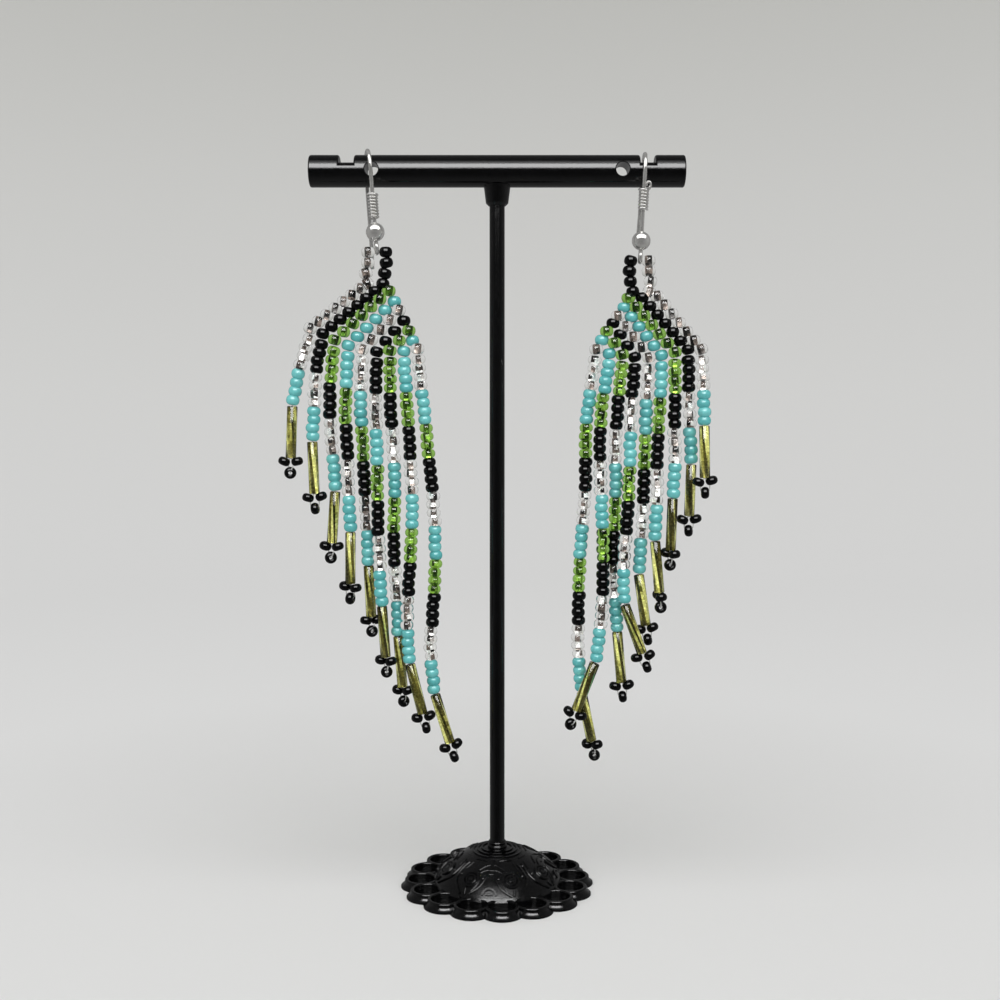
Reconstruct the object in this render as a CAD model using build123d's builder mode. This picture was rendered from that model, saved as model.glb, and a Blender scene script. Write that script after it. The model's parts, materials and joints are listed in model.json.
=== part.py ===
"""A pair of beaded fringe earrings hanging on a small T-bar display stand.

Millimetres, +Z up, the stand's front at -Y. The origin is at the middle of the
stand's foot, on the surface it stands on. Each earring has nine strings of seed
beads under a woven top; a string is a plain tube with the outer size of its beads,
and the tubular glass bead near its end is a piece of its own.
"""
import os
from collections import namedtuple
from math import asin, cos, radians, sin, sqrt, tan

from build123d import *

# Stand: cast foot with a domed middle and a rim of scallop loops, hollowed from above
foot_radius = 17.3
loop_count = 16
loop_turn = 3.6
loop_foot_radius = 3.7
loop_top_radius = 3.0
loop_lip = 0.25
loop_flare = 1.15
loop_wall = 0.65
loop_floor = 0.45
rim_height = 1.5
rim_round = 0.22
web_height = 1.1
skirt_radius = 11.6
skirt_height = 1.1
dome_radius = 11.3
ledge_rise = 0.6
dome_height = 7.05
neck_radius = 1.75
neck_height = 0.4

# Raised ornament of the dome: an arch between each pair of ring bosses, rings at the top
motif_count = 4
motif_turn = -7.4
boss_spread = 22.5
boss_circle = 9.05
boss_ring_radii = (1.5, 0.95)
boss_ring_width = 0.28
boss_dot_radius = 0.45
arch_circle = 10.95
arch_radius = 1.35
arch_width = 0.3
fan_radius = 0.72
crown_ring_radii = (2.9, 3.7, 4.5)
crown_ring_width = 0.3
relief = 0.28
relief_root = 0.8

# Stand: post, collar and bar
post_diameter = 2.65
post_socket = 4.0
socket_clearance = 0.05
bar_diameter = 5.5
bar_length = 65.0
bar_height = 126.7
bar_end_round = 0.3
notch_inset = 6.5
notch_width = 2.6
notch_core_diameter = 3.0
notch_rise = 0.45
notch_round = 0.35
hole_inset = 10.9
hole_diameter = 2.35
hole_chamfer = 0.15
collar_drop = 3.2
collar_top_diameter = 4.7
collar_foot_diameter = 3.9
collar_chamfer = 0.45
saddle_width = 3.1
saddle_wall = 0.35
saddle_rise = 2.4
collar_clearance = 0.05

# Hook: silver-plated wire over the bar, a wound coil, a drilled ball and an eye
wire_diameter = 0.7
bar_gap = 0.3
arch_back_radius = 4.6
tail_flick = 3.0
tail_flick_angle = 25
tail_bend_radius = 4.0
coil_wire_diameter = 0.5
coil_pitch = 0.57
coil_web = 0.14
ball_diameter = 3.2
hook_clearance = 0.05
eye_inner_diameter = 0.9
eye_seat = 0.05

# Beads: the strings' outer size, the woven top's ribs and core, and the end beads
bead_diameter = 2.05
panel_rib_diameter = 2.0
panel_core = 1.2
thread_diameter = 0.4
bead_gap = 0.12
bugle_diameter = 1.8
bugle_bore = 0.8
bugle_length = 9.0
picot_diameter = 2.0
picot_thickness = 1.6
picot_spread = 0.95
picot_drop = 1.65

# How much of the shorter run an arc of a string's tube takes on each side of its point
arc_share = 0.45

# Where each hook sits: how far in from the bar's end, how far it turns about the
# vertical and leans sideways, in degrees, how far it has dropped, the turns of its
# coil, the heights on it, counted down from the middle of its arch, and the straight
# length of its tail
Hook = namedtuple("Hook", "inset turn lean drop coil_turns coil_top ball tail")
left_hook = Hook(inset=10.2, turn=11.0, lean=4.0, drop=0.0, coil_turns=8, coil_top=4.25,
                 ball=10.9, tail=10.5)
right_hook = Hook(inset=7.05, turn=-2.5, lean=-2.8, drop=0.5, coil_turns=7, coil_top=2.8,
                  ball=11.9, tail=3.8)

# A string of beads: the first and last bead of its slanting row in the woven top, its
# way down to the tubular bead, that bead's foot, how far the string's lower part lies
# behind the fringe, and how far the three end beads are turned about the string.
# Every point is (outward, down) from the middle of the hook's eye.
Strand = namedtuple("Strand", "top edge route foot behind turn")

left_strands = [
    Strand((2.8, 6.8), (11.5, 13.6), [(12.8, 18.1), (13.8, 21.8), (14.8, 26.7)],
           (15.2, 36.1), 0.4, 5),
    Strand((0.3, 7.2), (9.4, 14.5), [(10.7, 20.5), (10.8, 26.7), (11.3, 32.9)],
           (11.0, 42.0), -0.5, 0),
    Strand((-2.1, 7.2), (7.3, 15.6), [(8.3, 22.1), (8.4, 28.9), (7.8, 35.5), (7.5, 41.6)],
           (8.2, 50.9), 0.5, 15),
    Strand((-3.0, 9.0), (5.0, 16.5), [(5.7, 25.2), (5.3, 33.1), (5.1, 40.9), (4.8, 48.7)],
           (4.9, 58.1), -0.5, 30),
    Strand((-3.8, 10.5), (2.6, 17.2),
           [(3.1, 25.3), (2.7, 32.6), (2.4, 39.9), (2.0, 47.3), (1.8, 54.7)],
           (1.4, 63.7), 0.5, -40),
    Strand((-4.6, 12.3), (0.1, 17.6),
           [(0.5, 25.7), (0.1, 32.9), (0.0, 40.1), (0.1, 47.3), (-0.2, 54.5), (-0.6, 61.7)],
           (-1.2, 70.8), -0.7, 35),
    Strand((-5.5, 14.0), (-2.2, 17.4),
           [(-2.1, 26.5), (-2.7, 34.6), (-2.9, 42.7), (-2.5, 50.9), (-3.1, 59.1), (-3.3, 67.2)],
           (-4.0, 76.1), 0.7, 35),
    Strand((-6.1, 15.7), (-4.6, 17.5),
           [(-5.1, 26.0), (-5.5, 33.7), (-6.0, 41.4), (-5.9, 49.1), (-5.4, 56.8), (-4.8, 64.4),
            (-5.4, 71.8)],
           (-7.6, 80.7), -0.7, 5),
    Strand((-7.0, 17.1), (-7.0, 17.1),
           [(-7.8, 25.4), (-8.5, 32.8), (-9.3, 40.2), (-9.9, 47.7), (-9.9, 55.2), (-9.5, 62.7),
            (-8.7, 70.1), (-9.7, 77.5)],
           (-12.3, 86.2), 0.7, 5),
]

right_strands = [
    Strand((2.9, 6.6), (10.6, 15.7), [(11.1, 20.5), (11.0, 24.6), (11.2, 28.7)],
           (11.4, 38.0), -0.8, 0),
    Strand((0.4, 6.8), (8.4, 15.7), [(8.7, 22.8), (8.9, 29.0), (9.3, 35.4)],
           (9.0, 44.7), 1.0, 0),
    Strand((-2.0, 6.9), (6.1, 16.2), [(6.3, 23.0), (6.0, 29.1), (6.3, 35.2), (5.9, 41.3)],
           (5.6, 50.8), -0.5, 60),
    Strand((-2.7, 8.5), (3.8, 16.7), [(3.6, 25.3), (3.1, 33.2), (3.2, 41.0), (2.9, 48.7)],
           (3.7, 57.5), -0.4, 85),
    Strand((-3.8, 10.0), (1.6, 17.1),
           [(1.2, 25.3), (1.2, 32.7), (1.0, 40.1), (0.8, 47.5), (0.2, 54.6)],
           (1.5, 63.5), 0.9, 20),
    Strand((-4.6, 11.2), (-0.8, 17.0),
           [(-1.4, 24.7), (-1.6, 31.6), (-1.7, 38.6), (-2.1, 45.6), (-2.7, 52.6), (-2.5, 59.6)],
           (0.6, 68.2), -1.1, 10),
    Strand((-5.7, 12.6), (-3.0, 16.6),
           [(-3.6, 25.3), (-4.1, 33.2), (-3.8, 41.1), (-4.3, 49.1), (-4.2, 57.0), (-3.5, 64.9)],
           (-2.7, 73.8), 0.7, 5),
    Strand((-6.5, 14.1), (-5.2, 16.4),
           [(-6.5, 24.8), (-6.9, 32.3), (-6.6, 39.8), (-6.2, 47.3), (-6.1, 54.8), (-6.3, 62.4),
            (-7.4, 69.9)],
           (-10.6, 78.2), -1.1, 20),
    Strand((-7.5, 15.7), (-7.5, 15.7),
           [(-8.7, 23.8), (-9.3, 31.2), (-9.1, 38.6), (-9.7, 46.0), (-10.1, 53.4), (-10.3, 60.8),
            (-10.4, 68.3), (-9.7, 75.6)],
           (-7.9, 84.5), 1.2, 45),
]

# The bead loop that hangs the woven top in the eye: (outward, down) from the eye's
# middle, below the two beads that stand beside the eye
left_loop = dict(inner=[(-1.8, 2.2), (-1.4, 4.1), (-0.9, 6.9)],
                 outer=[(1.3, 2.4), (2.1, 4.0), (1.5, 6.9)])
right_loop = dict(inner=[(-1.9, 2.1), (-1.8, 3.9), (-1.0, 6.7)],
                  outer=[(1.3, 2.5), (2.0, 3.9), (1.4, 6.7)])

bar_radius = bar_diameter / 2
wire_radius = wire_diameter / 2
bead_radius = bead_diameter / 2
post_radius = post_diameter / 2
eye_radius = (eye_inner_diameter + wire_diameter) / 2

os.makedirs("parts", exist_ok=True)


def save(part, name):
    part.label = name
    export_step(part, f"parts/{name}.step")


def dome_point(radius, angle):
    """Plane on the dome's surface, its z axis outward, at a radius and an angle."""
    slope = asin(radius / dome_curve)
    height = dome_height - dome_curve * (1 - cos(slope))
    a = radians(angle)
    return Plane(
        origin=(radius * sin(a), -radius * cos(a), height),
        x_dir=(cos(a), sin(a), 0),
        z_dir=(sin(slope) * sin(a), -sin(slope) * cos(a), cos(slope)),
    )


def tube_path(points):
    """Straight runs through the points, joined by tangent arcs as large as they allow."""
    runs = [(b - a).length for a, b in zip(points, points[1:])]
    radii = []
    for i in range(1, len(points) - 1):
        turn = radians((points[i] - points[i - 1]).get_angle(points[i + 1] - points[i]))
        radii.append(arc_share * min(runs[i - 1], runs[i]) / tan(turn / 2))
    return FilletPolyline(*points, radius=radii), radii


# Foot: hollowed scallop loops round a dome, with raised rings and arches
loop_circle = foot_radius - loop_foot_radius
loop_hole_radius = loop_top_radius - loop_wall
ledge_height = skirt_height + ledge_rise
dome_rise = dome_height - ledge_height
dome_curve = (dome_radius**2 + dome_rise**2) / (2 * dome_rise)
loop_step = 360 / loop_count
motif_step = 360 / motif_count

with BuildPart() as loop_body:
    with BuildSketch(Plane.XZ):
        with BuildLine():
            Polyline((0, rim_height), (0, 0), (loop_foot_radius, 0), (loop_foot_radius, loop_lip))
            RadiusArc((loop_foot_radius, loop_lip),
                      (loop_top_radius, rim_height - rim_round), loop_flare)
            RadiusArc((loop_top_radius, rim_height - rim_round),
                      (loop_top_radius - rim_round, rim_height), -rim_round)
            Line((loop_top_radius - rim_round, rim_height), (0, rim_height))
        make_face()
    revolve(axis=Axis.Z)

with BuildPart() as loop_cutter:
    with BuildSketch(Plane.XZ):
        with BuildLine():
            Polyline((0, rim_height), (0, loop_floor), (loop_hole_radius, loop_floor),
                     (loop_hole_radius, rim_height - rim_round))
            RadiusArc((loop_hole_radius, rim_height - rim_round),
                      (loop_hole_radius + rim_round, rim_height), rim_round)
            Line((loop_hole_radius + rim_round, rim_height), (0, rim_height))
        make_face()
    revolve(axis=Axis.Z)

with BuildPart() as stand_base:
    with BuildSketch(Plane.XY):
        Circle(loop_circle)
    extrude(amount=web_height)
    with PolarLocations(loop_circle, loop_count, start_angle=loop_turn - 90):
        add(loop_body.part)
    with PolarLocations(loop_circle, loop_count, start_angle=loop_turn - 90):
        add(loop_cutter.part, mode=Mode.SUBTRACT)
    with BuildSketch(Plane.XZ):
        with BuildLine():
            Polyline((0, 0), (skirt_radius, 0), (skirt_radius, skirt_height),
                     (dome_radius, ledge_height))
            RadiusArc((dome_radius, ledge_height), (0, dome_height), -dome_curve)
            Line((0, dome_height), (0, 0))
        make_face()
    revolve(axis=Axis.Z)
    for k in range(motif_count):
        motif_angle = motif_turn + motif_step * k
        for angle in (motif_angle - boss_spread, motif_angle + boss_spread):
            boss_plane = dome_point(boss_circle, angle)
            with BuildSketch(boss_plane.offset(-relief_root)):
                for radius in boss_ring_radii:
                    Circle(radius)
                    Circle(radius - boss_ring_width, mode=Mode.SUBTRACT)
                Circle(boss_dot_radius)
            extrude(amount=relief_root + relief)
        arch_plane = dome_point(arch_circle, motif_angle)
        with BuildSketch(arch_plane.offset(-relief_root)):
            Circle(arch_radius)
            Circle(arch_radius - arch_width, mode=Mode.SUBTRACT)
            Circle(fan_radius)
            Rectangle(3 * arch_radius, arch_radius,
                      align=(Align.CENTER, Align.MAX), mode=Mode.SUBTRACT)
        extrude(amount=relief_root + relief)
    for radius in crown_ring_radii:
        ring_top = dome_height - dome_curve + sqrt(dome_curve**2 - radius**2) + relief
        with BuildSketch(Plane.XY.offset(ring_top - relief_root)):
            Circle(radius)
            Circle(radius - crown_ring_width, mode=Mode.SUBTRACT)
        extrude(amount=relief_root)
    with BuildSketch(Plane.XY.offset(dome_height - relief_root)):
        Circle(neck_radius)
    extrude(amount=relief_root + neck_height)
    neck_top = stand_base.faces().filter_by(Axis.Z).sort_by(Axis.Z)[-1]
    fillet(neck_top.edges(), neck_height / 2)
    with BuildSketch(Plane.XY.offset(dome_height + neck_height)):
        Circle(post_radius + socket_clearance)
    extrude(amount=-(post_socket + neck_height), mode=Mode.SUBTRACT)
save(stand_base.part, "stand_base")

# Post: a round rod from the foot's socket to the collar's
post_foot = dome_height - post_socket + socket_clearance
post_top = bar_height - bar_radius - collar_clearance - socket_clearance

with BuildPart() as stand_post:
    with BuildSketch(Plane.XY.offset(post_foot)):
        Circle(post_radius)
    extrude(amount=post_top - post_foot)
save(stand_post.part, "stand_post")

# Collar: a tapered cup under the bar, with a rounded saddle up its front and back
bar_underside = bar_height - bar_radius
collar_foot = bar_underside - collar_drop
cup_top = bar_underside + saddle_wall
saddle_inner = bar_radius + collar_clearance
saddle_top = bar_underside + saddle_rise

with BuildPart() as saddle:
    with BuildSketch(Plane.YZ):
        with Locations((0, bar_height)):
            Circle(saddle_inner + saddle_wall)
    extrude(amount=saddle_width, both=True)
    with BuildSketch(Plane.XZ):
        with Locations((0, (saddle_top + collar_foot) / 2)):
            SlotOverall(saddle_top - collar_foot, saddle_width, rotation=90)
    extrude(amount=bar_diameter, both=True, mode=Mode.INTERSECT)

with BuildPart() as stand_collar:
    with BuildSketch(Plane.XZ):
        with BuildLine():
            Polyline(
                (0, collar_foot),
                (collar_foot_diameter / 2 - collar_chamfer, collar_foot),
                (collar_foot_diameter / 2, collar_foot + collar_chamfer),
                (collar_top_diameter / 2, cup_top),
                (0, cup_top),
                close=True,
            )
        make_face()
    revolve(axis=Axis.Z)
    add(saddle.part)
    with BuildSketch(Plane.YZ):
        with Locations((0, bar_height)):
            Circle(saddle_inner)
    extrude(amount=collar_top_diameter, both=True, mode=Mode.SUBTRACT)
    with BuildSketch(Plane.XY.offset(collar_foot)):
        Circle(post_radius + socket_clearance)
    extrude(amount=collar_drop, mode=Mode.SUBTRACT)
save(stand_collar.part, "stand_collar")

# Bar: a round rod with a notch near each end, turned down to a thinner core over the
# bar's upper half, and a hole through beside it
notch_x = bar_length / 2 - notch_inset
hole_x = bar_length / 2 - hole_inset
notch_core_radius = notch_core_diameter / 2

with BuildPart() as stand_bar:
    with BuildSketch(Plane.YZ.offset(-bar_length / 2)):
        with Locations((0, bar_height)):
            Circle(bar_radius)
    extrude(amount=bar_length)
    fillet(stand_bar.edges().filter_by(GeomType.CIRCLE), bar_end_round)
    with BuildSketch(Plane.XZ):
        with Locations((-notch_x, bar_height + notch_rise), (notch_x, bar_height + notch_rise)):
            Rectangle(notch_width, bar_diameter, align=(Align.CENTER, Align.MIN))
    extrude(amount=bar_diameter, both=True, mode=Mode.SUBTRACT)
    for x in (-notch_x, notch_x):
        with BuildSketch(Plane.YZ.offset(x - notch_width / 2)):
            with Locations((0, bar_height)):
                Circle(notch_core_radius)
        extrude(amount=notch_width)
    notch_walls = stand_bar.faces().filter_by(Axis.X).filter_by(
        lambda f: abs(f.center().X) < bar_length / 2 - notch_width / 2
    )
    notch_lips = notch_walls.edges().filter_by(GeomType.CIRCLE).filter_by(
        lambda e: e.radius > notch_core_radius + notch_round
    )
    fillet(notch_lips, notch_round)
    with BuildSketch(Plane.XZ):
        with Locations((-hole_x, bar_height), (hole_x, bar_height)):
            Circle(hole_diameter / 2)
    extrude(amount=bar_diameter, both=True, mode=Mode.SUBTRACT)
    hole_walls = stand_bar.faces().filter_by(GeomType.CYLINDER).filter_by(
        lambda f: f.radius < bar_radius / 2
    )
    hole_lips = [e for e in hole_walls.edges() if e.geom_type != GeomType.LINE]
    chamfer(hole_lips, hole_chamfer)
save(stand_bar.part, "stand_bar")


def hook_plane(hook, outward):
    """The hook's own plane: x toward the back, y up, through the middle of the bar."""
    turn = radians(hook.turn)
    lean = radians(hook.lean)
    back = Vector(-sin(turn), cos(turn), 0)
    up = Vector(-sin(lean), 0, cos(lean))
    return Plane(
        origin=(outward * (bar_length / 2 - hook.inset), 0, bar_height - hook.drop),
        x_dir=back,
        z_dir=back.cross(up),
    )


def build_hook(side, outward, hook):
    """Wire hook, wound coil and ball of one earring; gives back the middle of the eye."""
    plane = hook_plane(hook, outward)
    front = (bar_radius + bar_gap + wire_radius) / cos(radians(hook.turn))
    ball_radius = ball_diameter / 2
    eye_down = hook.ball + ball_radius + eye_seat + wire_radius + eye_radius
    arch_end = front - arch_back_radius
    tail_down = arch_end - hook.tail
    flick = radians(tail_flick_angle)
    flick_back = arch_back_radius + tail_bend_radius * (1 - cos(flick))
    flick_down = tail_down - tail_bend_radius * sin(flick)

    def on_leg(down):
        return Plane(
            origin=plane.from_local_coords((-front, -down, 0)),
            x_dir=plane.x_dir,
            z_dir=plane.y_dir,
        )

    with BuildPart() as ear_hook:
        with BuildLine(plane) as wire:
            Line((-front, eye_radius - eye_down), (-front, 0))
            RadiusArc((-front, 0), (0, front), front)
            RadiusArc((0, front), (arch_back_radius, arch_end), arch_back_radius)
            Line((arch_back_radius, arch_end), (arch_back_radius, tail_down))
            RadiusArc((arch_back_radius, tail_down), (flick_back, flick_down), -tail_bend_radius)
            Line(
                (flick_back, flick_down),
                (flick_back + tail_flick * sin(flick), flick_down - tail_flick * cos(flick)),
            )
        with BuildSketch(Plane(origin=wire.line @ 0, z_dir=wire.line % 0)):
            Circle(wire_radius)
        sweep()
        eye_middle = plane.from_local_coords((-front, -eye_down, 0))
        with Locations(Plane(origin=eye_middle, x_dir=plane.x_dir, z_dir=plane.z_dir)):
            Torus(eye_radius, wire_radius)
    save(ear_hook.part, f"{side}_ear_hook")

    coil_middle_radius = wire_radius + hook_clearance + coil_wire_diameter / 2
    coil_span = (hook.coil_turns - 1) * coil_pitch
    with BuildPart() as hook_coil:
        with BuildSketch(plane):
            coil_middle = -hook.coil_top - coil_wire_diameter / 2 - coil_span / 2
            with Locations((-front + coil_middle_radius, coil_middle)):
                Rectangle(coil_web, coil_span)
                with GridLocations(0, coil_pitch, 1, hook.coil_turns):
                    Circle(coil_wire_diameter / 2)
        revolve(axis=Axis(on_leg(0).origin, plane.y_dir))
    save(hook_coil.part, f"{side}_hook_coil")

    with BuildPart() as hook_ball:
        with Locations(on_leg(hook.ball)):
            Sphere(ball_radius)
            Hole(wire_radius + hook_clearance)
    save(hook_ball.part, f"{side}_hook_ball")
    return eye_middle


def build_top(side, outward, eye, strands, loop):
    """Woven top: a core with a rib for each slanting row, and the bead loop in the eye."""
    def place(point):
        return Vector(eye.X + outward * point[0], eye.Y, eye.Z - point[1])

    beside_eye = wire_radius + bead_gap + bead_radius
    thread_down = (eye_inner_diameter - thread_diameter) / 2 - bead_gap / 2
    outline = [s.top for s in strands] + [s.edge for s in reversed(strands[:-1])]

    with BuildPart() as beaded_top:
        with BuildSketch(Plane.XZ.offset(-eye.Y)):
            with BuildLine():
                Polyline([(place(p).X, place(p).Z) for p in outline], close=True)
            make_face()
        extrude(amount=panel_core / 2, both=True)
        for s in strands:
            top = place(s.top)
            edge = place(s.edge)
            with Locations(top):
                Sphere(panel_rib_diameter / 2)
            if (edge - top).length > panel_rib_diameter / 2:
                with Locations(edge):
                    Sphere(panel_rib_diameter / 2)
                with Locations(Plane(origin=(top + edge) / 2, z_dir=edge - top)):
                    Cylinder(panel_rib_diameter / 2, (edge - top).length)
        for name, way in (("inner", -1), ("outer", 1)):
            start = (way * beside_eye, thread_down - bead_radius / 2)
            with BuildLine() as arm:
                tube_path([place(p) for p in [start] + loop[name]])
            with BuildSketch(Plane(origin=arm.line @ 0, z_dir=arm.line % 0)):
                Circle(bead_radius)
            sweep()
        with Locations(Plane(origin=place((0, thread_down)), z_dir=(1, 0, 0))):
            Cylinder(thread_diameter / 2, 2 * beside_eye)
    save(beaded_top.part, f"{side}_beaded_top")


def build_string(side, outward, eye, number, strand):
    """One hanging string: bead tube, thread and end beads, and its tubular bead."""
    start = (strand.edge[0], strand.edge[1] + panel_rib_diameter / 2 + bead_gap)
    stops = [start] + strand.route
    count = len(stops) - 1
    points = [
        Vector(
            eye.X + outward * across,
            eye.Y + strand.behind * min(1, 2 * i / count),
            eye.Z - down,
        )
        for i, (across, down) in enumerate(stops)
    ]
    foot = Vector(
        eye.X + outward * strand.foot[0], eye.Y + strand.behind, eye.Z - strand.foot[1]
    )
    end = points[-1]
    along = (foot - end).normalized()
    bend = radians(along.get_angle(end - points[-2]))
    bugle_top = end + along * (bead_gap + bead_radius * sin(bend))
    bugle_foot = bugle_top + along * bugle_length
    picot = bugle_foot + along * (bead_gap + picot_diameter / 2)
    across = Vector(0, 1, 0).cross(along).rotate(Axis((0, 0, 0), along), strand.turn)

    with BuildPart() as string:
        with BuildLine() as path:
            radii = tube_path(points)[1]
        with BuildSketch(Plane(origin=path.line @ 0, z_dir=path.line % 0)):
            Circle(bead_radius)
        sweep()
        length = sum(e.length for e in path.edges())
        tube_volume = string.part.volume
        core_top = end - along * bead_radius
        core_foot = picot + along * picot_diameter / 4
        with Locations(Plane(origin=(core_top + core_foot) / 2, z_dir=along)):
            Cylinder(thread_diameter / 2, (core_foot - core_top).length)
        with BuildSketch(Plane(origin=picot, x_dir=across, z_dir=across.cross(along))):
            bead_middles = [(-picot_spread, 0), (picot_spread, 0), (0, picot_drop)]
            with BuildLine():
                Polyline(bead_middles, close=True)
            make_face()
            with Locations(bead_middles):
                Circle(picot_diameter / 2)
        extrude(amount=picot_thickness / 2, both=True)
    save(string.part, f"{side}_string_{number}")

    with BuildPart() as bugle:
        with Locations(Plane(origin=(bugle_top + bugle_foot) / 2, z_dir=along)):
            Cylinder(bugle_diameter / 2, bugle_length)
            Cylinder(bugle_bore / 2, bugle_length, mode=Mode.SUBTRACT)
    save(bugle.part, f"{side}_bugle_{number}")

    print(f"{side} string {number}: {length:.1f} mm, volume {tube_volume / length:.3f} mm2"
          f" times length, least bend {min(radii):.0f} mm")


# Earrings, the right one with its points mirrored
for side, outward, hook, strands, loop in (
    ("left", -1, left_hook, left_strands, left_loop),
    ("right", 1, right_hook, right_strands, right_loop),
):
    eye = build_hook(side, outward, hook)
    print(f"{side} eye at {eye.X:.2f}, {eye.Y:.2f}, {eye.Z:.2f}")
    build_top(side, outward, eye, strands, loop)
    for number, strand in enumerate(strands, start=1):
        build_string(side, outward, eye, number, strand)
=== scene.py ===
"""The beaded fringe earrings and their T-bar stand, dressed for a studio photograph.

Metres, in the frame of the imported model: +Z up, the stand's front at -Y, the origin at
the middle of the stand's foot. Sizes are written in millimetres and turned into metres
by MM. Every seed bead is placed along the routes of the strings.
"""

import json
from collections import namedtuple
from math import acos, cos, pi, radians, sin, tau

import bpy
import numpy as np
from mathutils import Matrix, Vector

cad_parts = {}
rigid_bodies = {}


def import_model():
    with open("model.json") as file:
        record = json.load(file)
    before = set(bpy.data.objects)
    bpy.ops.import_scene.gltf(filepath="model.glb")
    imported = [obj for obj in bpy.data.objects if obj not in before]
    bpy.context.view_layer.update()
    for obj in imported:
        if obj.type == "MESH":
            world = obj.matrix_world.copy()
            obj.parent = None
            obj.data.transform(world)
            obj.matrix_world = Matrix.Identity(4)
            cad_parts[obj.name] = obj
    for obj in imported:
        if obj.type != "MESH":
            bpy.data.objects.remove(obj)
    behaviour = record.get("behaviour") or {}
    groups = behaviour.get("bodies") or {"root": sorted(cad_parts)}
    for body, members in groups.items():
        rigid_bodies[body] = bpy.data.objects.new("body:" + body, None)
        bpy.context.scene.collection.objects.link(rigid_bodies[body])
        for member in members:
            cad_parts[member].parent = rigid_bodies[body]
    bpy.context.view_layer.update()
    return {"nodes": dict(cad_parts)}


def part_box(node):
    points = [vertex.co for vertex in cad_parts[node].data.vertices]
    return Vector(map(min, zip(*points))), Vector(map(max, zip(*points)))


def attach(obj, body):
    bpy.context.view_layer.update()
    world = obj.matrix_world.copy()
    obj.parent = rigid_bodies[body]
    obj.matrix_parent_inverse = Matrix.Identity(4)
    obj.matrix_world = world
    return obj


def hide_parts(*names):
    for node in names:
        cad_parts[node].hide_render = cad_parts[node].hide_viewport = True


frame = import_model()

MM = 0.001
seed = 11
draw = np.random.default_rng(seed)

# Camera: where the photograph was taken from
camera_place = (0.0005, -0.2218, 0.0849)
camera_pitch = -3.964
camera_lens = 45.3

# Seed beads: their size and shape, and how much they differ from each other
bead_diameter = 2.34
bead_bore = 0.8
bead_fill = {"opaque": 1.12, "lined": 1.05}
bead_squareness = 2.2
bead_segments = 26
lined_segments = 24
bead_rings = 10
lining_side = 0.62
lining_mouth = 0.4464
lining_bits = 3
bead_shift = 0.1
bead_tilt = 6
bead_size_spread = 0.03
bead_length_share = (-1, 0.3)

# Woven tops: the slanting rows, and the bead loop in the hook's eye. Tones are dark at 0.
# The tops take only the lower tones: painted shade, with darker painted reflections in the
# linings
row_bead_length = 1.8
row_lean = (0.1, 0.4)
row_depth = 0.2
row_painted_dark_tones = (0, 0.56)
loop_tilt = 12
loop_painted_dark_tones = (0, 0.62)

# Tubular beads, the painted reflections that streak their silvered holes, and the three end beads
# below them
bugle_diameter = 1.8
bugle_length = 9.0
bugle_edge = 0.12
bugle_segments = 24
bugle_lining_side = 0.8
bugle_lining_twist = 75
bugle_rings = 18
bugle_streaks = 8
bugle_drift = 0.1
bugle_end_shade = (0.1, 0.2)
bugle_end_share = (0.3, 0.12)
picot_bead_diameter = 2.1
picot_bead_length = 1.45
picot_side = 1.15
picot_side_drop = 0.6
picot_low_drop = 2.6
picot_lean = 18
picot_spin_spread = 8

# Threads, how finely a string's line is drawn, and which of its points the threads keep
thread_diameter = 0.22
line_steps = 16
string_thread_step = 4
end_thread_step = 3

# The same clearances as the solids have
cad_bead_diameter = 2.05
panel_rib_diameter = 2.0
bead_gap = 0.12
eye_inner_diameter = 0.9
cad_thread_diameter = 0.4

# Hooks: how far each turns about the vertical and leans, in degrees, and the coil on its leg
Hook = namedtuple("Hook", "turn lean coil_turns coil_start curl")
hooks = {"left": Hook(11.0, 4.0, 8, 200, False), "right": Hook(-2.5, -2.8, 7, 0, True)}
wire_diameter = 0.7
coil_wire_diameter = 0.38
coil_clearance = 0.18
coil_steps = 20
coil_flare = 0.35
curl_width = 0.7
curl_height = 1.0
curl_end = 300
ball_to_eye = 2.8

# Cast ornament of the foot's dome, made four times round it from partly sunk wires. Points
# are the distance from the dome's middle and the degrees from the motif's own middle. The
# rise is the height of a wire's middle over the dome, as a share of the wire's radius.
dome_top = 7.05
dome_curve = 14.609
motif_count = 4
motif_turn = -7.4
bold_radius = 0.22
fine_radius = 0.13
wire_rise = 0.35
boss = (9.05, 22.5)
boss_rings = (1.38, 0.85, 0.25)
dots = ((8.7, 9), (8.65, 38), (7.0, 43))
dot_ring = 0.11
bold_lines = (
    [(8.6, 5.5), (9.6, 8), (10.6, 14), (11.15, 21)],
    [(10.45, 24), (10.75, 23.6), (11.1, 23)],
    [(6.4, 41), (8.6, 44.5), (10.2, 38), (11.15, 28)],
)
fine_lines = (
    [(6.2, 3.5), (6.4, 10), (7.35, 17)],
    [(7.2, 4), (7.35, 9), (7.85, 14)],
    [(7.25, 0), (7.25, 1.5), (7.27, 3)],
    [(7.95, 0), (7.95, 1.3), (7.97, 2.6)],
    [(6.1, 34), (6.9, 36), (7.6, 37)],
    [(5.2, 12), (5.25, 24), (5.2, 36)],
    [(9.0, 12), (9.9, 13), (10.8, 18.5)],
)
neck_rings = ((1.46, 7.42), (1.4, 7.92))
ring_steps = 36

# Strings: the first and last bead of the slanting row, the way down to the tubular
# bead, that bead's foot, how far the lower part lies behind, and the end beads' turn.
# Points are (outward, down) from the middle of the hook's eye, in millimetres.
Strand = namedtuple("Strand", "top edge route foot behind turn")

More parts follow.
